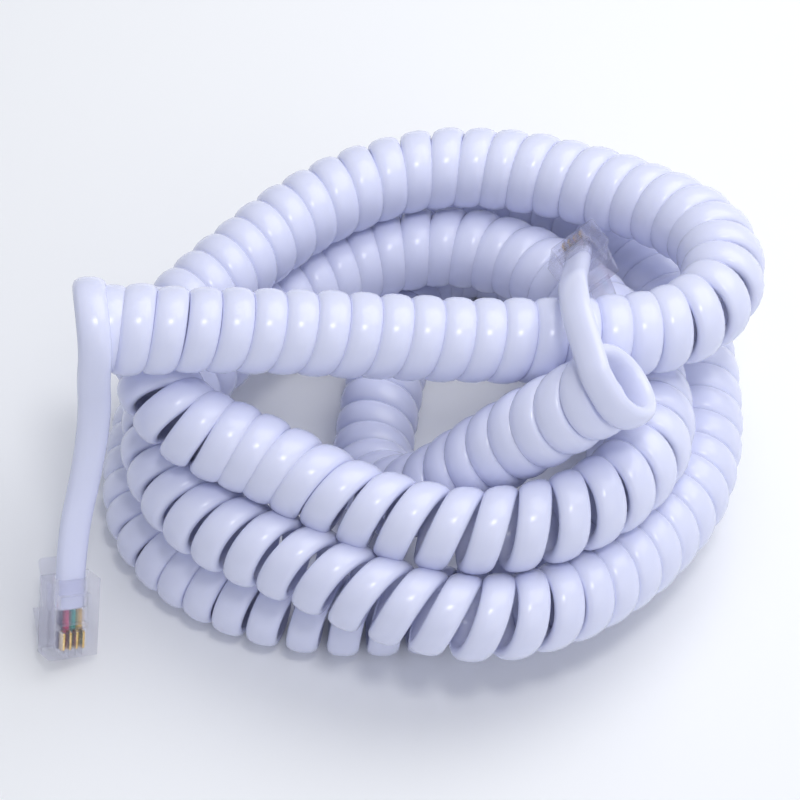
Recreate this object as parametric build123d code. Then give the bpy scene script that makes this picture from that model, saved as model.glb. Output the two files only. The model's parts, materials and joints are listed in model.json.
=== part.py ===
from build123d import *
import math
import os

# A coiled telephone handset cord, lying in a loose three-layer ring. A flat four-conductor cable is
# wound into a long coil; each end leaves the coil as a short straight lead and ends in a clear
# modular plug with four contacts and a spring latch. Millimetres, +Z up, the origin on the table
# under the middle of the ring.

# Cable and coil
COIL_DIAMETER = 11.8  # over the turns
CABLE_WIDTH = 4.4  # the wide side of the flat cable
CABLE_THICKNESS = 2.4
ARC_SHARE = 0.45  # how much of the shorter run beside a corner its arc takes

# Plug: local x across the width, +y the latch side, -y the contact side, +z out along the cable.
# The middle of its rear face is the local origin.
PLUG_WIDTH = 7.65
PLUG_DEPTH = 4.2
PLUG_LENGTH = 11.7
PLUG_EDGE = 0.3
JACKET_INSERT = 4.6  # how far the cable's jacket reaches into the plug
CHANNEL_CLEARANCE = 0.05
CONTACT_PITCH = 1.02
CONTACT_COUNT = 4
CONTACT_THICKNESS = 0.36
CONTACT_FRONT = 1.2  # from the plug's nose to the contacts
CONTACT_LENGTH = 2.7
CONTACT_RECESS = 0.18  # below the contact face
CONTACT_HEIGHT = 1.32
CONTACT_ROUNDING = 0.35
TOOTH_HEIGHT = 0.3
TOOTH_LENGTH = 0.6
TOOTH_INSET = 0.35  # from each end of the blade
TOOTH_ROOT = 0.1  # how far a tooth's base is sunk in the blade
SLOT_CLEARANCE = 0.04
SLOT_FRONT = 0.35  # wall left at the nose in front of each contact slot
WIRE_DIAMETER = 0.96
WIRE_SPAN = 5.9  # insulated wire from the jacket's end towards the nose
WIRE_END_GAP = 0.1
BAR_FRONT, BAR_BACK = -4.4, -2.3  # local z of the strain relief bar
BAR_WIDTH = 4.6
BAR_BITE = 0.35  # how far the bar sinks into the jacket
CLAMP_FRONT, CLAMP_BACK = -7.55, -6.7  # local z of the conductor clamp
CLAMP_WIDTH = 4.3
CLAMP_BITE = 0.1
PRESS_DEPTH = 0.75  # how far both crimped bars stand below the contact face
WEDGE_SHARE = 0.35  # of a bar's height, cut off its lower back edge

# Latch, in the plug's own axes
LATCH_PIVOT_Y = PLUG_DEPTH / 2 + 0.6
LATCH_PIVOT_Z = -PLUG_LENGTH + 0.75
LIP_HEIGHT = 0.9  # the latch's lip at the nose, above the latch side
LIP_OVERLAP = 0.1  # how far the lip reaches past the pivot
LIP_CHAMFER = 0.45
LATCH_ANGLE = 21.0  # at rest, from the plug's side
LATCH_ROOT_RADIUS = 0.45
LATCH_WIDE, LATCH_NARROW = 6.0, 3.2
LATCH_SHOULDER = 5.3  # along the latch, from the pivot to the locking shoulders
LATCH_REACH = 12.2  # along the latch, from the pivot to the thumb end
THUMB_ROUNDING = 0.6
LATCH_THICKNESS = 0.8
SHOULDER_THICKNESS = 1.5
HINGE_CLEARANCE = 0.06

# Worked out from the above, in the plug's own axes
NOSE = -PLUG_LENGTH
CONTACT_FACE = -PLUG_DEPTH / 2
CONTACT_TOP = CONTACT_FACE + CONTACT_RECESS
CONTACT_FOOT = CONTACT_TOP + CONTACT_HEIGHT
WIRE_Y = CONTACT_FOOT + WIRE_DIAMETER / 2
WIRE_FRONT = -JACKET_INSERT - WIRE_SPAN
JACKET_TOP = -CABLE_THICKNESS / 2
SECTION_ROUNDING = 0.4  # of the flat cable's thickness

# Where the plugs lie: middle of the rear face, direction of the cable, direction of the width
PLUGS = {
    "plug_a": ((-46.5, -31.4, 11.95), (0.07, 0.57, 0.82), (0.857, 0.386, -0.342)),
    "plug_b": ((25.1, 4.7, 37.5), (-0.088, -0.809, 0.581), (-0.779, -0.308, -0.547)),
}

# Centre line of the coil, from the end that lead A leaves to the end that lead B leaves. Each
# stretch is a node of its own, cut from the next one halfway between their nearest points.
COIL_ROUTE = {
    "coil_top_run": [
        (-45, -12, 43.2), (-32.5, -11.4, 42.5), (-19, -10.2, 40.8), (-5, -9.6, 39),
        (8, -9.3, 37.6), (20, -8.8, 36.7), (30.5, -7.8, 36.2),
    ],
    "coil_top_bend": [
        (38.8, -5.7, 35.9), (44.9, -0.6, 35.5), (46.5, 6.5, 34.6), (44.7, 13.9, 33.3),
        (38.6, 20.1, 31.9),
    ],
    "coil_upper_back": [
        (29.3, 25.9, 30), (17.5, 30.6, 28.7), (5, 31.5, 28.4), (-6, 27.6, 28.5),
        (-16, 20.6, 28.8), (-25.2, 9.7, 29.5),
    ],
    "coil_upper_left": [
        (-33, -0.5, 30.3), (-34.8, -7.4, 30.5), (-33.3, -14.2, 30.5), (-28.5, -19, 29.7),
        (-20, -22, 28.2),
    ],
    "coil_upper_front": [
        (-12, -25, 26.8), (-5, -28.5, 25.6), (8, -32.6, 25), (20, -31.8, 25.1),
        (30, -26.5, 25), (36, -17.7, 24.6),
    ],
    "coil_middle_back": [
        (35.5, -5.7, 23.6), (31, 6, 22.2), (24, 15.5, 20.5), (16, 22.7, 18.6),
        (5, 25.2, 18.1), (-6.5, 22.2, 17.4),
    ],
    "coil_middle_left": [
        (-17, 15, 17.1), (-27, 5.5, 17.3), (-34.7, -6.3, 17.8), (-33.5, -19, 17.8),
        (-26, -28.7, 18),
    ],
    "coil_middle_front": [
        (-14, -35.4, 17.9), (-1, -41.8, 17), (13, -42.8, 16.2), (26.3, -36.8, 14.9),
        (36.8, -26, 13.7),
    ],
    "coil_middle_right": [
        (43.2, -14.8, 13.7), (44.3, 0, 14.5), (42, 15, 15), (33, 29.5, 15.5),
    ],
    "coil_lower_back": [
        (20, 40, 15), (5, 43, 14), (-11, 38, 8.5), (-24, 26, 5.9),
    ],
    "coil_lower_left": [
        (-33, 12, 5.9), (-38, -4, 5.9), (-37, -19, 5.9), (-28, -28, 5.9),
    ],
    "coil_lower_front": [
        (-16, -33.3, 5.9), (-2, -34, 5.9), (12, -32, 5.9), (24, -25, 5.9),
    ],
    "coil_lower_right": [
        (32, -14, 5.9), (34.5, 0, 5.9), (32, 14, 5.9), (24.5, 26.5, 5.9), (18, 30.8, 5.9),
    ],
    "coil_inner_run": [
        (11.2, 32.8, 5.9), (4.9, 30.9, 5.9), (0.9, 25.7, 5.9), (-0.4, 18, 5.9), (-2.5, 7, 5.9),
    ],
    "coil_rising_end": [
        (-4, -3.8, 5.9), (-4, -10, 7), (-2.5, -14.5, 9.2), (0.2, -18, 12.4), (4.2, -20, 16.8),
        (10, -20, 22.8), (16.5, -20.3, 30.1), (24, -20.8, 37.1), (31.5, -19.4, 42.6),
    ],
}

# Straight leads, each from the coil to the rear face of its plug
LEAD_ROUTES = {
    "lead_a": [
        (-42, -16.6, 44.5), (-41.7, -16.9, 37.5), (-42.9, -19, 30), (-44.3, -22.9, 23),
        (-46, -27.7, 17.2), PLUGS["plug_a"][0],
    ],
    "lead_b": [
        (30.8, -24.3, 43.5), (25.8, -20.2, 46.8), (23.9, -13.4, 48.7), (23.7, -6.5, 46.3),
        (24.4, -0.9, 41.7), PLUGS["plug_b"][0],
    ],
}


def corner_radius(before, corner, after):
    """The largest arc that leaves straight pieces on both runs beside a corner."""
    run_in = Vector(*corner) - Vector(*before)
    run_out = Vector(*after) - Vector(*corner)
    half_turn = math.radians(run_in.get_angle(run_out)) / 2
    return ARC_SHARE * min(run_in.length, run_out.length) / math.tan(half_turn)


def halfway(a, b):
    return tuple((p + q) / 2 for p, q in zip(a, b))


def tube(points, radii, diameter):
    """A round tube along straight runs joined by tangent arcs."""
    path = FilletPolyline(*points, radius=radii)
    section = Plane(origin=path @ 0, z_dir=path % 0) * Circle(diameter / 2)
    solid = sweep(section, path=path)
    expected = math.pi * diameter**2 / 4 * path.length
    print(f"    length {path.length:.1f}, volume / (section x length) {solid.volume / expected:.4f}")
    return solid


def coil_tubes():
    """One fat tube of the coil's outer diameter for each stretch of the route."""
    route = [point for stretch in COIL_ROUTE.values() for point in stretch]
    radii = [corner_radius(*route[i - 1 : i + 2]) for i in range(1, len(route) - 1)]
    tubes = {}
    start = 0
    for name, stretch in COIL_ROUTE.items():
        end = start + len(stretch)
        points = list(stretch)
        corners = radii[max(start - 1, 0) : end - 1]
        if start > 0:
            points.insert(0, halfway(route[start - 1], route[start]))
        if end < len(route):
            points.append(halfway(route[end - 1], route[end]))
        print(name, "radii", [round(r, 1) for r in corners])
        tubes[name] = tube(points, corners, COIL_DIAMETER)
        start = end
    return tubes


def plug_place(rear_centre, cable_direction, width_direction):
    along = Vector(*cable_direction).normalized()
    across = Vector(*width_direction)
    across = (across - along * across.dot(along)).normalized()
    return Plane(origin=rear_centre, x_dir=across, z_dir=along).location


def box_between(x0, x1, y0, y1, z0, z1):
    centre = ((x0 + x1) / 2, (y0 + y1) / 2, (z0 + z1) / 2)
    return Pos(*centre) * Box(x1 - x0, y1 - y0, z1 - z0)


def flat_section(growth=0.0):
    """The flat cable's section: its narrow sides are nearly half round."""
    width, thickness = CABLE_WIDTH + 2 * growth, CABLE_THICKNESS + 2 * growth
    return RectangleRounded(width, thickness, thickness * SECTION_ROUNDING)


def jacket_end(growth=0.0):
    return Pos(0, 0, -JACKET_INSERT) * extrude(flat_section(growth), amount=JACKET_INSERT)


def contact_x(index):
    return (index - (CONTACT_COUNT - 1) / 2) * CONTACT_PITCH


def contact_blade(index):
    """A thin gold blade with two teeth that pierce the wire behind it."""
    front = NOSE + CONTACT_FRONT
    back = front + CONTACT_LENGTH
    half = CONTACT_THICKNESS / 2
    x = contact_x(index)
    blade = box_between(x - half, x + half, CONTACT_TOP, CONTACT_FOOT, front, back)
    outer_edges = blade.edges().filter_by(Axis.X).group_by(Axis.Y)[0]
    blade = fillet(outer_edges, CONTACT_ROUNDING)
    for tooth_z in (front + TOOTH_INSET, back - TOOTH_INSET - TOOTH_LENGTH):
        points = [
            (CONTACT_FOOT - TOOTH_ROOT, tooth_z),
            (CONTACT_FOOT - TOOTH_ROOT, tooth_z + TOOTH_LENGTH),
            (CONTACT_FOOT + TOOTH_HEIGHT, tooth_z + TOOTH_LENGTH / 2),
        ]
        middle = Plane(origin=(x, 0, 0), x_dir=(0, 1, 0), z_dir=(1, 0, 0))
        blade += extrude(middle * Polygon(*points, align=None), amount=half, both=True)
    return blade


def wire(index):
    start = Plane(origin=(contact_x(index), WIRE_Y, WIRE_FRONT))
    return extrude(start * Circle(WIRE_DIAMETER / 2), amount=WIRE_SPAN) - contact_blade(index)


def crimp_bar(width, front, back, foot):
    """A bar of the housing that crimping breaks free and presses down, wedge-shaped at its back."""
    top = CONTACT_FACE + PRESS_DEPTH
    bar = box_between(-width / 2, width / 2, top, foot, front, back)
    lower_back = bar.edges().filter_by(Axis.X).group_by(Axis.Z)[-1].sort_by(Axis.Y)[-1]
    return chamfer(lower_back, (foot - top) * WEDGE_SHARE)


def strain_relief_bar():
    return crimp_bar(BAR_WIDTH, BAR_FRONT, BAR_BACK, JACKET_TOP + BAR_BITE)


def conductor_clamp():
    return crimp_bar(CLAMP_WIDTH, CLAMP_FRONT, CLAMP_BACK, CONTACT_FOOT + CLAMP_BITE)


def hinge_socket():
    cylinder = Cylinder(LATCH_ROOT_RADIUS + HINGE_CLEARANCE, PLUG_WIDTH, rotation=(0, 90, 0))
    return Pos(0, LATCH_PIVOT_Y, LATCH_PIVOT_Z) * cylinder


def housing():
    """The clear body: hollow for the jacket, the wires and the bars, with a slot over each contact."""
    half_width, half_depth = PLUG_WIDTH / 2, PLUG_DEPTH / 2
    body = box_between(-half_width, half_width, -half_depth, half_depth, NOSE, 0)
    body = fillet(body.edges(), PLUG_EDGE)
    lip_top, lip_back = half_depth + LIP_HEIGHT, LATCH_PIVOT_Z + LIP_OVERLAP
    lip = box_between(-LATCH_WIDE / 2, LATCH_WIDE / 2, half_depth - PLUG_EDGE, lip_top, NOSE, lip_back)
    outer_edge = lip.edges().filter_by(Axis.X).group_by(Axis.Z)[0].sort_by(Axis.Y)[-1]
    body += chamfer(outer_edge, LIP_CHAMFER)
    body -= hinge_socket()
    body -= jacket_end(CHANNEL_CLEARANCE)
    wires_half = CONTACT_PITCH * (CONTACT_COUNT - 1) / 2 + WIRE_DIAMETER / 2 + CHANNEL_CLEARANCE
    wire_low = WIRE_Y - WIRE_DIAMETER / 2 - CHANNEL_CLEARANCE
    wire_high = WIRE_Y + WIRE_DIAMETER / 2 + CHANNEL_CLEARANCE
    body -= box_between(
        -wires_half, wires_half, wire_low, wire_high, WIRE_FRONT - WIRE_END_GAP, -JACKET_INSERT
    )
    slot_half = CONTACT_THICKNESS / 2 + SLOT_CLEARANCE
    for index in range(CONTACT_COUNT):
        x = contact_x(index)
        slot_back = NOSE + CONTACT_FRONT + CONTACT_LENGTH + SLOT_CLEARANCE
        body -= box_between(
            x - slot_half, x + slot_half, CONTACT_FACE, WIRE_Y, NOSE + SLOT_FRONT, slot_back
        )
    for width, front, back, foot in (
        (BAR_WIDTH, BAR_FRONT, BAR_BACK, 0),
        (CLAMP_WIDTH, CLAMP_FRONT, CLAMP_BACK, WIRE_Y),
    ):
        half = width / 2 + CHANNEL_CLEARANCE
        body -= box_between(
            -half, half, CONTACT_FACE, foot, front - CHANNEL_CLEARANCE, back + CHANNEL_CLEARANCE
        )
    return body


def latch():
    """The sprung lever: a round root, a wide ramp that ends in two shoulders, a narrow thumb tab."""
    half = LATCH_THICKNESS / 2
    root = Cylinder(LATCH_ROOT_RADIUS, LATCH_WIDE, rotation=(0, 90, 0))
    side = Plane(origin=(0, 0, 0), x_dir=(0, 0, 1), z_dir=(1, 0, 0))
    ramp_outline = side * Polygon(
        (0, half), (0, -half), (LATCH_SHOULDER, half - SHOULDER_THICKNESS),
        (LATCH_SHOULDER, half), align=None,
    )
    ramp = extrude(ramp_outline, amount=LATCH_WIDE / 2, both=True)
    tab_outline = side * Polygon(
        (0, half), (0, -half), (LATCH_REACH, -half), (LATCH_REACH, half), align=None
    )
    tab = extrude(tab_outline, amount=LATCH_NARROW / 2, both=True)
    tab_end = tab.edges().filter_by(Axis.Y).group_by(Axis.Z)[-1]
    lever = root + ramp + fillet(tab_end, THUMB_ROUNDING)
    swing = Rot(-LATCH_ANGLE, 0, 0)
    return Pos(0, LATCH_PIVOT_Y, LATCH_PIVOT_Z) * swing * lever


def plug_parts(name):
    """Every piece of one plug, in its place on the cord."""
    parts = {
        "housing": housing(),
        "latch": latch(),
        "strain_relief_bar": strain_relief_bar(),
        "conductor_clamp": conductor_clamp(),
    }
    for index in range(CONTACT_COUNT):
        parts[f"contact_{index + 1}"] = contact_blade(index)
        parts[f"conductor_{index + 1}"] = wire(index) - conductor_clamp()
    place = plug_place(*PLUGS[name])
    return {f"{name}_{part}": place * solid for part, solid in parts.items()}


def lead_tube(name, plug_name):
    """A lead with the flat end of its jacket inside the plug."""
    points = LEAD_ROUTES[name]
    radii = [corner_radius(*points[i - 1 : i + 2]) for i in range(1, len(points) - 1)]
    print(name, "radii", [round(r, 1) for r in radii])
    place = plug_place(*PLUGS[plug_name])
    inside_plug = place * box_between(-PLUG_WIDTH, PLUG_WIDTH, -PLUG_WIDTH, PLUG_WIDTH, NOSE, 0)
    insert = jacket_end() - strain_relief_bar()
    return tube(points, radii, CABLE_WIDTH) - inside_plug, place * insert


def main():
    nodes = coil_tubes()
    for lead, plug_name, coil_end in (
        ("lead_a", "plug_a", "coil_top_run"),
        ("lead_b", "plug_b", "coil_rising_end"),
    ):
        round_lead, insert = lead_tube(lead, plug_name)
        nodes[coil_end] -= round_lead
        nodes[lead] = round_lead + insert
        nodes.update(plug_parts(plug_name))
    os.makedirs("parts", exist_ok=True)
    for name, solid in nodes.items():
        export_step(solid, f"parts/{name}.step")
    print(len(nodes), "nodes")


main()
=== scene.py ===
import json
import math

import bpy
import numpy as np
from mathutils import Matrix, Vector


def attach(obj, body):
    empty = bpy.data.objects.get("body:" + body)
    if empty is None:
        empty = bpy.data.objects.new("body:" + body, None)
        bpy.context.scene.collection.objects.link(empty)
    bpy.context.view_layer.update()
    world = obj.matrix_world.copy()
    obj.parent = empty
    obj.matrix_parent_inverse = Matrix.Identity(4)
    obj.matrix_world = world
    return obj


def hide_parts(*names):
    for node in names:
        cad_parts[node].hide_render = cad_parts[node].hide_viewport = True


# A coiled telephone handset cord: one flat cable wound into a long left-handed coil that lies in a
# loose ring, with a straight lead and a clear modular plug at each end. Metres, in the CAD's frame.

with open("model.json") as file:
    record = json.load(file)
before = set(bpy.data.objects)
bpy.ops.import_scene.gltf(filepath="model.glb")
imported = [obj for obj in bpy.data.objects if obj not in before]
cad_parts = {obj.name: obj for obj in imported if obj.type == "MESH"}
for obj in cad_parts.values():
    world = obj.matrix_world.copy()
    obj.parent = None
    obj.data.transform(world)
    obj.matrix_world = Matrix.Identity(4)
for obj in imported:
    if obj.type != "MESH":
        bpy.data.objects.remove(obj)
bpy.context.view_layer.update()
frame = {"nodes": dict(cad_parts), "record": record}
nodes = frame["nodes"]

# Cable and coil
CABLE_WIDTH = 0.0046
CABLE_THICKNESS = 0.0024
COIL_RADIUS = 0.00605  # over the turns
TURN_RADIUS = COIL_RADIUS - CABLE_THICKNESS / 2  # to the middle of the cable
JACKET_INSERT = 0.0046  # how far the jacket reaches into each plug
JACKET_END_WIDTH = 0.0044  # pressed narrower there
JACKET_TAPER = 0.004  # over which it widens again
LEAD_RUN_OUT = 0.003  # how far each lead runs straight on from the coil before it bends
COIL_START = 0.0014  # along the coil's route, where the first turn leaves lead A
COIL_END = 0.0012  # before the end of the route, where the last turn leaves for lead B
FRONT = Vector((0, -1, 0))  # the side of the coil that the first turn starts at, for lead A
LEAD_B_SIDE = Vector((-0.257, -0.772, 0.579))  # the side that the last turn ends at, for lead B

# How the turns follow each other
TURN_PRESS = 0.95  # they press together a little where they lie closed
BEND_SPREAD = 0.2  # how much of the spread that a bend needs its turns really show
SHARPEST_BEND = 0.5  # the turns' radius as a share of the bend's: above it they spread no further
START_CROWDING = 0.43  # the first turn rides over the second
PITCH_WAVES = [(0.012, 0.031, 0), (0.01, 0.0123, 1)]  # share of the pitch, length, phase

# How far the turns stand out, as a share of their radius
START_GROWTH, START_TURNS = 0.42, 0.9  # the first turn opens out, and this many turns ease back
THIRD_GROWTH, THIRD_TURN, THIRD_SPREAD = 0.075, 2.1, 0.9  # the third stands out a little too
END_GROWTH, END_TURNS = 0.16, 1.1  # the last turn opens out less
RADIUS_WAVES = [(0.010, 7.3, 0), (0.008, 2.9, 2)]  # share of the radius, length in turns, phase

# How far the end turns are moved along the coil, and over how many turns
START_SHIFT, START_SHIFT_TURNS = 0.0015, 0.35  # the front, where lead A leaves, leans to the coil
END_TUCK, END_TUCK_TURNS = 0.0014, 1.5  # the far side of the last turn lies back on the one before

# How finely the cord is worked out
SPLINE_RESOLUTION = 24
AXIS_STEP = 0.0002  # along the coil's middle line
LEAD_STEP = 0.0006
STEPS_PER_TURN = 30
JACKET_INSERT_POINTS = 15
PROFILE_POINTS = 14
PROFILE_POWER = 2.3  # 2 is an ellipse, and higher is squarer

# The distance each way that a value is averaged over, along the coil's middle line
AXIS_REACH = 0.0015
BEND_REACH = 0.004
BLEND_REACH = 0.006  # looseness, lean and slant, from stretch to stretch

# The coil's route, from lead A's end to lead B's end, in stretches. Each has its turns' looseness, as
# a share of the pitch, and their lean and slant: how far the upper front side of a turn is ahead of
# the coil's middle, and how far its upper back side is.
COIL_STRETCHES = [
    # The top run, from lead A to the right
    (0.0, 0.0003, 0.0, [(-0.045, -0.012, 0.0432), (-0.0325, -0.0114, 0.0425)]),
    (0.0, 0.0009, 0.0, [
        (-0.019, -0.0102, 0.0408), (-0.005, -0.0096, 0.039), (0.008, -0.0093, 0.0376),
        (0.02, -0.0088, 0.0367), (0.0305, -0.0078, 0.0362),
    ]),
    # The first loop: right, back, left and front
    (-0.05, 0.0, 0.0, [
        (0.0388, -0.0057, 0.0359), (0.0449, -0.0006, 0.0355), (0.0465, 0.0065, 0.0346),
        (0.0447, 0.0139, 0.0333), (0.0386, 0.0201, 0.0319),
    ]),
    (0.0, 0.0, 0.0, [
        (0.0293, 0.0259, 0.03), (0.0175, 0.0306, 0.0287), (0.005, 0.0315, 0.0284),
        (-0.006, 0.0276, 0.0285), (-0.016, 0.0206, 0.0288), (-0.0252, 0.0097, 0.0295),
    ]),
    (-0.1, 0.0003, 0.0, [
        (-0.033, -0.0005, 0.0303), (-0.0348, -0.0074, 0.0305), (-0.0333, -0.0142, 0.0305),
        (-0.0285, -0.019, 0.0297), (-0.02, -0.022, 0.0282),
    ]),
    (0.14, -0.0006, 0.0005, [(-0.012, -0.0256, 0.0262), (-0.005, -0.0293, 0.0251)]),
    (0.22, -0.0002, 0.0007, [(0.008, -0.0331, 0.0246), (0.02, -0.032, 0.0249)]),
    # The second loop, inside the others at the back
    (-0.04, 0.0004, 0.0005, [(0.03, -0.0265, 0.025), (0.036, -0.0177, 0.0246)]),
    (-0.05, 0.0, 0.0, [
        (0.0355, -0.0057, 0.0236), (0.031, 0.006, 0.0222), (0.024, 0.0155, 0.0205),
        (0.016, 0.0227, 0.0186), (0.005, 0.0252, 0.0181), (-0.0065, 0.0222, 0.0174),
    ]),
    (0.0, -0.0005, 0.0, [
        (-0.017, 0.015, 0.0171), (-0.027, 0.0055, 0.0173), (-0.0347, -0.0063, 0.0178),
        (-0.0335, -0.0188, 0.0179),
    ]),
    (0.07, -0.0004, 0.0002, [(-0.026, -0.028, 0.0186)]),
    (0.26, -0.0005, 0.0007, [(-0.014, -0.0341, 0.0191), (-0.001, -0.0406, 0.0182)]),
    (0.18, -0.0002, 0.0007, [(0.013, -0.0426, 0.0166)]),
    # The third loop, which comes down to the surface at the back
    (-0.06, 0.0004, 0.0004, [(0.0263, -0.0368, 0.0149), (0.0368, -0.026, 0.0137)]),
    (-0.06, 0.0, 0.0, [
        (0.0432, -0.0148, 0.0137), (0.0443, 0.0, 0.0145), (0.042, 0.015, 0.015),
        (0.033, 0.0295, 0.0155),
    ]),
    (0.0, 0.0, 0.0, [
        (0.02, 0.04, 0.015), (0.005, 0.043, 0.014), (-0.011, 0.038, 0.0085), (-0.024, 0.026, 0.0059),
    ]),
    (-0.1, 0.0, 0.0, [
        (-0.033, 0.012, 0.0059), (-0.038, -0.004, 0.0059), (-0.037, -0.019, 0.0059),
        (-0.028, -0.028, 0.0059),
    ]),
    (0.22, -0.0008, 0.0004, [
        (-0.016, -0.0333, 0.0059), (-0.002, -0.034, 0.0059), (0.012, -0.032, 0.0059),
        (0.024, -0.025, 0.0059),
    ]),
    # Back along the right, forward across the middle, and up to lead B
    (0.0, 0.0, 0.0, [
        (0.032, -0.014, 0.0059), (0.0345, 0.0, 0.0059), (0.032, 0.014, 0.0059),
        (0.0245, 0.0265, 0.0059), (0.018, 0.0308, 0.0059), (0.0112, 0.0328, 0.0059),
        (0.0049, 0.0309, 0.0059), (0.0009, 0.0257, 0.0059), (-0.0004, 0.018, 0.0059),
        (-0.0025, 0.007, 0.0059), (-0.004, -0.0038, 0.0059), (-0.004, -0.01, 0.007),
        (-0.0025, -0.0145, 0.0092), (0.0002, -0.018, 0.0124), (0.0042, -0.02, 0.0168),
        (0.01, -0.02, 0.0228), (0.0165, -0.0203, 0.0301),
    ]),
    (0.0, -0.0018, 0.0, [(0.024, -0.0208, 0.0371), (0.0315, -0.0194, 0.0426)]),
]
LOOSENESS, LEANS, SLANTS, STRETCH_POINTS = zip(*COIL_STRETCHES)
COIL_ROUTE = [point for points in STRETCH_POINTS for point in points]
LEAN_TOWARDS = (0, -0.616, 0.788)  # the upper front
SLANT_TOWARDS = (0, 0.788, 0.616)  # the upper back

# Each lead's route, from the coil to the rear face of its plug
LEAD_A_ROUTE = [
    (-0.0420, -0.0191, 0.0362), (-0.0427, -0.0203, 0.03), (-0.0442, -0.0231, 0.023),
    (-0.046, -0.0277, 0.0172), (-0.0465, -0.0314, 0.01195),
]
LEAD_B_ROUTE = [
    (0.0258, -0.0202, 0.0468), (0.0239, -0.0134, 0.0487), (0.0237, -0.0065, 0.0463),
    (0.0244, -0.0009, 0.0417), (0.0251, 0.0047, 0.0375),
]

# How the plugs lie: direction of the cable out of the rear face, and direction of the width
PLUG_A_AXES = (0.07, 0.57, 0.82), (0.857, 0.386, -0.342)
PLUG_B_AXES = (-0.088, -0.809, 0.581), (0.779, 0.308, 0.547)

WIRE_COLOURS = {
    "wire_black": (0.08, 0.07, 0.15),
    "wire_red": (0.75, 0.10, 0.25),
    "wire_green": (0.06, 0.46, 0.38),
    "wire_yellow": (0.87, 0.58, 0.18),
}
WIRE_SHADE = 0.85  # the darker of a wire's two tints, as a share of its colour
NOISE_LOW, NOISE_HIGH = 0.3, 0.7  # most of a noise texture's values lie between these

# Camera and studio
CAMERA_AIM = Vector((0, -0.003, 0.016))
CAMERA_ELEVATION = math.radians(52)
CAMERA_DISTANCE = 0.48
CAMERA_SENSOR, CAMERA_LENS = 36, 148.5  # millimetres
CAMERA_CLIP_START = 0.01
LIGHTS = [  # name, place, diameter, watts, colour
    ("key_light", (0.10, -0.24, 0.80), 0.14, 1.15, (1.0, 0.99, 0.98)),
    ("top_light", (0.14, 0.11, 0.32), 0.36, 0.68, (1.0, 1.0, 1.0)),
    ("fill_light", (0.45, -0.60, 0.55), 0.8, 1.2, (0.96, 0.97, 1.0)),
]
LIGHTS_AIM = Vector((0, 0, 0.015))
SKY_COLOUR, SKY_STRENGTH = (0.90, 0.93, 1.0, 1), 0.45
FLOOR_HALF = 2.5


# ---- Camera, lights, floor ----

def add_object(name, data):
    added = bpy.data.objects.new(name, data)
    bpy.context.scene.collection.objects.link(added)
    return added


def make_camera():
    data = bpy.data.cameras.new("camera")
    data.sensor_width = CAMERA_SENSOR
    data.lens = CAMERA_LENS
    data.clip_start = CAMERA_CLIP_START
    camera = add_object("camera", data)
    towards_camera = Vector((0, -math.cos(CAMERA_ELEVATION), math.sin(CAMERA_ELEVATION)))
    camera.location = CAMERA_AIM + towards_camera * CAMERA_DISTANCE
    camera.rotation_euler = (math.pi / 2 - CAMERA_ELEVATION, 0, 0)
    bpy.context.scene.camera = camera


def add_area_light(name, place, diameter, watts, colour):
    data = bpy.data.lights.new(name, "AREA")
    data.shape = "DISK"
    data.size = diameter
    data.energy = watts
    data.color = colour
    light = add_object(name, data)
    light.location = place
    light.rotation_euler = (LIGHTS_AIM - Vector(place)).to_track_quat("-Z", "Y").to_euler()


def make_studio():
    for light in LIGHTS:
        add_area_light(*light)
    world = bpy.data.worlds.new("studio")
    world.use_nodes = True
    set_values(world.node_tree.nodes["Background"], Color=SKY_COLOUR, Strength=SKY_STRENGTH)
    bpy.context.scene.world = world
    bpy.context.scene.view_settings.view_transform = "Standard"

    floor = bpy.data.meshes.new("floor")
    corners = [
        (-FLOOR_HALF, -FLOOR_HALF, 0), (FLOOR_HALF, -FLOOR_HALF, 0),
        (FLOOR_HALF, FLOOR_HALF, 0), (-FLOOR_HALF, FLOOR_HALF, 0),
    ]
    floor.from_pydata(corners, [], [(0, 1, 2, 3)])
    floor.materials.append(floor_material())
    add_object("floor", floor)


# ---- Materials ----

def new_material(name):
    material = bpy.data.materials.new(name)
    material.use_nodes = True
    return material, material.node_tree, material.node_tree.nodes["Principled BSDF"]


def set_values(node, **values):
    for name, value in values.items():
        node.inputs[name.replace("_", " ")].default_value = value


def add_noise(tree, scale, detail=2.0):
    coordinates = tree.nodes.new("ShaderNodeTexCoord")
    noise = tree.nodes.new("ShaderNodeTexNoise")
    set_values(noise, Scale=scale, Detail=detail)
    tree.links.new(coordinates.outputs["Object"], noise.inputs["Vector"])
    return noise.outputs["Fac"]


def mix_colours(tree, factor, low, high):
    ramp = tree.nodes.new("ShaderNodeValToRGB")
    first, last = ramp.color_ramp.elements
    first.position, last.position = NOISE_LOW, NOISE_HIGH
    first.color, last.color = (*low, 1), (*high, 1)
    tree.links.new(factor, ramp.inputs["Fac"])
    return ramp.outputs["Color"]


def value_range(tree, factor, low, high):
    scaled = tree.nodes.new("ShaderNodeMapRange")
    set_values(scaled, From_Min=NOISE_LOW, From_Max=NOISE_HIGH, To_Min=low, To_Max=high)
    tree.links.new(factor, scaled.inputs["Value"])
    return scaled.outputs["Result"]


def add_bump(tree, shader, height, strength, distance):
    bump = tree.nodes.new("ShaderNodeBump")
    set_values(bump, Strength=strength, Distance=distance)
    tree.links.new(height, bump.inputs["Height"])
    tree.links.new(bump.outputs["Normal"], shader.inputs["Normal"])


def floor_material():
    material, _, shader = new_material("floor_white")
    set_values(shader, Base_Color=(0.93, 0.94, 0.96, 1), Roughness=0.9)
    return material


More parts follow.
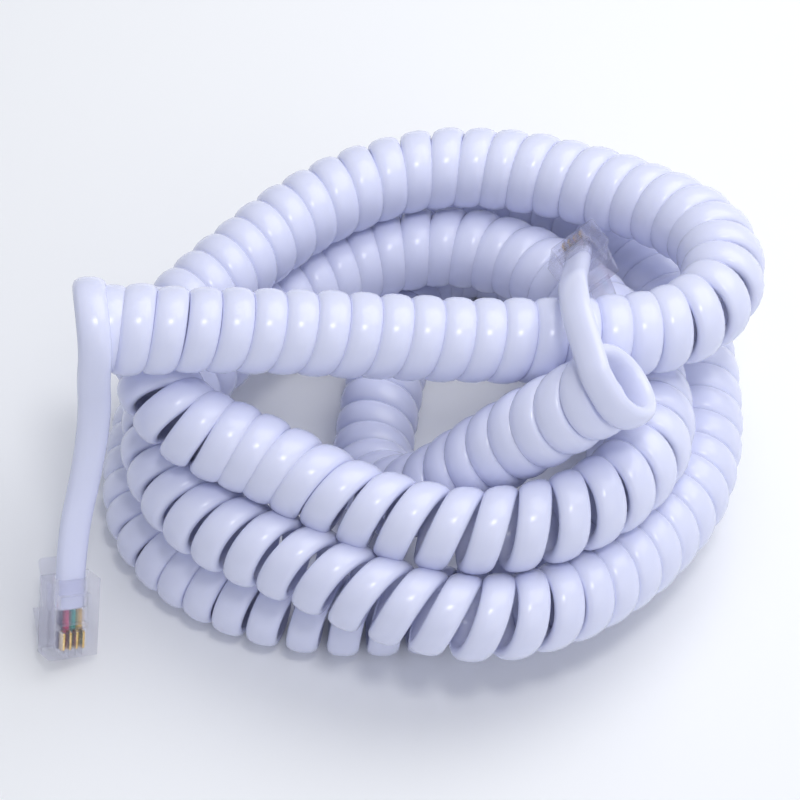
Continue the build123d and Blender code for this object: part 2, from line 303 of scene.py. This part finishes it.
def pvc_material():
    """Soft white PVC: smooth and satin, with a slightly uneven tint and a very faint ripple."""
    material, tree, shader = new_material("white_pvc")
    tint = mix_colours(
        tree, add_noise(tree, scale=45), low=(0.725, 0.75, 0.955), high=(0.74, 0.765, 0.965)
    )
    tree.links.new(tint, shader.inputs["Base Color"])
    add_bump(tree, shader, add_noise(tree, scale=900), strength=0.04, distance=0.00002)
    set_values(
        shader, Roughness=0.25, IOR=1.53, Subsurface_Weight=0.15,
        Subsurface_Radius=(0.8, 0.85, 1.0), Subsurface_Scale=0.0006,
    )
    return material


def clear_material(name, colour, alpha):
    """Clear moulded polycarbonate, a little hazy, with faint flow lines."""
    material, tree, shader = new_material(name)
    set_values(shader, Base_Color=(*colour, 1), IOR=1.55, Alpha=alpha, Transmission_Weight=0.75)
    gloss = value_range(tree, add_noise(tree, scale=500), low=0.05, high=0.12)
    tree.links.new(gloss, shader.inputs["Roughness"])
    add_bump(tree, shader, add_noise(tree, scale=1500), strength=0.05, distance=0.00005)
    return material


def gold_material():
    """Gold plating, a little uneven in colour and polish."""
    material, tree, shader = new_material("gold_contact")
    tint = mix_colours(
        tree, add_noise(tree, scale=2500, detail=3), low=(0.80, 0.55, 0.22), high=(0.95, 0.72, 0.36)
    )
    tree.links.new(tint, shader.inputs["Base Color"])
    gloss = value_range(tree, add_noise(tree, scale=4000), low=0.18, high=0.32)
    tree.links.new(gloss, shader.inputs["Roughness"])
    set_values(shader, Metallic=1.0)
    return material


def wire_material(name, colour):
    """A conductor's coloured insulation, in two close tints."""
    material, tree, shader = new_material(name)
    shade = tuple(WIRE_SHADE * c for c in colour)
    tint = mix_colours(tree, add_noise(tree, scale=1500), low=shade, high=colour)
    tree.links.new(tint, shader.inputs["Base Color"])
    set_values(shader, Roughness=0.35)
    return material


# ---- Lines ----

def spline_line(points):
    """Points along the smooth line that these control points make."""
    curve = bpy.data.curves.new("route", "CURVE")
    curve.dimensions = "3D"
    curve.resolution_u = SPLINE_RESOLUTION
    spline = curve.splines.new("NURBS")
    spline.points.add(len(points) - 1)
    for point, place in zip(spline.points, points):
        point.co = (*place, 1)
    spline.order_u = 3
    spline.use_endpoint_u = True
    route = bpy.data.objects.new("route", curve)
    mesh = bpy.data.meshes.new_from_object(route)
    line = np.array([v.co for v in mesh.vertices], float)
    bpy.data.objects.remove(route)
    bpy.data.curves.remove(curve)
    bpy.data.meshes.remove(mesh)
    return line


def distances(line):
    """How far along the line each of its points is."""
    return np.concatenate([[0], np.cumsum(np.linalg.norm(np.diff(line, axis=0), axis=1))])


def read_at(places, at, rows):
    """Rows that are known at some distances, read at other places between them."""
    return np.stack([np.interp(places, at, column) for column in rows.T], axis=1)


def resampled(line, step):
    """The line with evenly spaced points, and how far along it they are."""
    known_at = distances(line)
    at = np.linspace(0, known_at[-1], int(known_at[-1] / step) + 1)
    return at, read_at(at, known_at, line)


def unit(vectors):
    return vectors / np.linalg.norm(vectors, axis=-1, keepdims=True)


def tangents(line):
    return unit(np.gradient(line, axis=0))


def without_twist(tangent, first):
    """A direction across the line at each of its points, carried along with no twist."""
    across = np.empty_like(tangent)
    across[0] = unit(first - tangent[0] * (first @ tangent[0]))
    for i in range(1, len(tangent)):
        across[i] = unit(across[i - 1] - tangent[i] * (across[i - 1] @ tangent[i]))
    return across


def smoothed(values, reach):
    """Values along the coil's middle line, each averaged with those within reach."""
    width = 2 * int(reach / AXIS_STEP) + 1
    kernel = np.hanning(width + 2)[1:-1]
    padded = np.pad(values, width // 2, mode="edge")
    return np.convolve(padded, kernel / kernel.sum(), mode="valid")


def eased(share):
    """0 to 1, with a gentle start and end."""
    return share * share * (3 - 2 * share)


def fading(turns, over):
    """1 at an end of the coil, easing to 0 over some turns."""
    return eased(np.clip(1 - turns / over, 0, 1))


def waves(parts, angle):
    """Uneven waves, each of its own height and length, in turns of the angle."""
    return sum(height * np.sin(angle / length + phase) for height, length, phase in parts)


# ---- The coil ----

def along_route(per_stretch, at):
    """One value for each stretch of the coil, blended along the whole route."""
    counts = [len(points) for points in STRETCH_POINTS]
    points_at = distances(np.array(COIL_ROUTE))
    points_at *= at[-1] / points_at[-1]
    return smoothed(np.interp(at, points_at, np.repeat(per_stretch, counts)), BLEND_REACH)


def pitch_along(at, tangent):
    """The distance from turn to turn, a little wider in the bends and where the turns lie open."""
    bending = np.linalg.norm(np.gradient(tangent, AXIS_STEP, axis=0), axis=1)
    bend = np.minimum(smoothed(bending, BEND_REACH) * TURN_RADIUS, SHARPEST_BEND)
    pitch = TURN_PRESS * CABLE_WIDTH / (1 - BEND_SPREAD * bend)
    pitch *= 1 + along_route(LOOSENESS, at)
    pitch *= 1 - START_CROWDING * np.exp(-((at - COIL_START) / CABLE_WIDTH) ** 2)
    return pitch * (1 + waves(PITCH_WAVES, 2 * math.pi * at))


def turning_along(at, tangent, side, up):
    """The angle that the cable has turned through along the coil, and the angle where it ends."""
    pitch = pitch_along(at, tangent)
    turned = np.concatenate([[0], np.cumsum(2 * math.pi * AXIS_STEP / pitch[1:])])
    turned -= np.interp(COIL_START, at, turned)
    # The last turn has to face lead B, so the turns are spread a little to end there.
    last = np.searchsorted(at, at[-1] - COIL_END)
    lead_side = np.array(LEAD_B_SIDE)
    facing = math.atan2(-(up[last] @ lead_side), side[last] @ lead_side)
    turns = round((turned[last] - facing) / (2 * math.pi))
    turned *= (facing + 2 * math.pi * turns) / turned[last]
    return turned, turned[last]


def standing_out(angle):
    """How far the turns stand out, as a share of their radius."""
    done = angle / (2 * math.pi)
    growth = START_GROWTH * fading(done, START_TURNS)
    growth += END_GROWTH * fading(done[-1] - done, END_TURNS)
    growth += THIRD_GROWTH * np.exp(-(((done - THIRD_TURN) / THIRD_SPREAD) ** 2))
    return growth + waves(RADIUS_WAVES, angle)


def shift_ahead(angle, outward, lean, slant):
    """How far each point of a turn is ahead of the coil's middle, along the coil."""
    done = angle / (2 * math.pi)
    facing_out = outward @ np.array(LEAN_TOWARDS)
    ahead = lean * facing_out + slant * (outward @ np.array(SLANT_TOWARDS))
    ahead += START_SHIFT * fading(done, START_SHIFT_TURNS)
    ahead -= END_TUCK * fading(done[-1] - done, END_TUCK_TURNS) * np.maximum(-facing_out, 0)
    return ahead


def coil_helix():
    """The cable's middle line through every turn, and the direction out of the coil at each point."""
    at, axis = resampled(spline_line(COIL_ROUTE), AXIS_STEP)
    axis = np.stack([smoothed(column, AXIS_REACH) for column in axis.T], axis=1)
    tangent = tangents(axis)
    side = without_twist(tangent, np.array(FRONT))
    up = np.cross(tangent, side)
    turned, end = turning_along(at, tangent, side, up)
    turns = end / (2 * math.pi)
    print(f"{turns:.1f} turns")

    angle = np.linspace(0, end, int(turns * STEPS_PER_TURN) + 1)
    places = np.interp(angle, turned, at)
    middle, onward, side, up = [read_at(places, at, rows) for rows in (axis, tangent, side, up)]
    outward = unit(side) * np.cos(angle)[:, None] - unit(up) * np.sin(angle)[:, None]
    lean = np.interp(places, at, along_route(LEANS, at))
    slant = np.interp(places, at, along_route(SLANTS, at))
    radius = TURN_RADIUS * (1 + standing_out(angle))
    ahead = shift_ahead(angle, outward, lean, slant)
    return middle + radius[:, None] * outward + ahead[:, None] * unit(onward), outward


# ---- The cord ----

def lead_line(route, first, onward, plug_axes):
    """A lead's middle line, from the coil's end, where it goes onward, to inside its plug."""
    rear, inward = Vector(route[-1]), -Vector(plug_axes[0]).normalized()
    start = [tuple(first), tuple(first + onward * LEAD_RUN_OUT)]
    line = resampled(spline_line([*start, *route]), LEAD_STEP)[1]
    depths = np.linspace(LEAD_STEP / 2, JACKET_INSERT, JACKET_INSERT_POINTS)
    return np.concatenate([line, np.array([rear + inward * depth for depth in depths])])


def wide_side(line, at_coil, at_plug):
    """The direction of the cable's wide side, turning smoothly from the coil to the plug."""
    at = distances(line)
    share = eased(np.clip(at / (at[-1] - JACKET_INSERT), 0, 1))[:, None]
    wide = at_coil * (1 - share) + np.array(at_plug) * share
    along = tangents(line)
    return unit(wide - along * (wide * along).sum(1, keepdims=True))


def cable_widths(line):
    """The cable's width at each point: a little narrower where the plugs press it."""
    at = distances(line)
    to_end = np.minimum(at, at[-1] - at)
    taper = [JACKET_INSERT, JACKET_INSERT + JACKET_TAPER]
    return np.interp(to_end, taper, [JACKET_END_WIDTH, CABLE_WIDTH])


def squared(round_values):
    """A circle's values, from -1 to 1, made squarer."""
    return np.sign(round_values) * np.abs(round_values) ** (2 / PROFILE_POWER)


def cable_mesh(line, wide):
    """The flat cable's surface along its middle line, closed at both ends."""
    thin = np.cross(wide, tangents(line))
    angles = np.arange(PROFILE_POINTS) * 2 * math.pi / PROFILE_POINTS
    across = (cable_widths(line) / 2)[:, None, None] * squared(np.cos(angles))[None, :, None]
    through = (CABLE_THICKNESS / 2 * squared(np.sin(angles)))[None, :, None]
    rings = line[:, None] + across * wide[:, None] + through * thin[:, None]
    points = rings.reshape(-1, 3)
    points[:, 2] = np.maximum(points[:, 2], 0)  # flat where it rests
    faces = []
    for a in range(0, len(points) - PROFILE_POINTS, PROFILE_POINTS):
        b = a + PROFILE_POINTS
        for j in range(PROFILE_POINTS):
            k = (j + 1) % PROFILE_POINTS
            faces.append((a + j, a + k, b + k, b + j))
    faces.append(tuple(reversed(range(PROFILE_POINTS))))
    faces.append(tuple(range(len(points) - PROFILE_POINTS, len(points))))
    mesh = bpy.data.meshes.new("cord")
    mesh.from_pydata(points.tolist(), [], faces)
    mesh.polygons.foreach_set("use_smooth", [True] * (len(faces) - 2) + [False] * 2)
    mesh.update()
    return mesh


def make_cord():
    helix, outward = coil_helix()
    along = tangents(helix)
    coil_wide = unit(np.cross(along, outward))
    lead_a = lead_line(LEAD_A_ROUTE, helix[0], -along[0], PLUG_A_AXES)
    lead_b = lead_line(LEAD_B_ROUTE, helix[-1], along[-1], PLUG_B_AXES)
    wide_a = wide_side(lead_a, coil_wide[0], PLUG_A_AXES[1])
    wide_b = wide_side(lead_b, coil_wide[-1], PLUG_B_AXES[1])
    line = np.concatenate([lead_a[:0:-1], helix, lead_b[1:]])
    wide = np.concatenate([wide_a[:0:-1], coil_wide, wide_b[1:]])
    cord = add_object("cord", cable_mesh(line, wide))
    cord.data.materials.append(pvc_material())
    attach(cord, "cord")
    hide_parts(*[n for n in nodes if n.startswith(("coil_", "lead_"))])


# ---- The plugs ----

def finish_plugs():
    """The plugs' CAD pieces, in the material of their slot, with the crimped flaps a little clearer and
    painted lighter: painted light that brightens the jacket seen through them.
    """
    body = clear_material("clear_polycarbonate", (0.78, 0.78, 0.93), 0.34)
    # Painted light: the flaps are the same clear plastic, given a lighter tint so that the jacket under
    # them looks more brightly lit.
    flap_painted_lighter = clear_material("clear_polycarbonate_flap_painted_lighter", (0.90, 0.90, 0.97), 0.25)
    materials = {"clear_polycarbonate": body, "gold_contact": gold_material()}
    for name, colour in WIRE_COLOURS.items():
        materials[name] = wire_material(name, colour)
    slots = {part["node"]: part["material_slot"] for part in frame["record"]["subparts"]}
    for name, node in nodes.items():
        if name.startswith("plug_"):
            is_flap = name.endswith(("_bar", "_clamp"))
            node.data.materials.clear()
            node.data.materials.append(flap_painted_lighter if is_flap else materials[slots[name]])


make_camera()
make_cord()
finish_plugs()
make_studio()
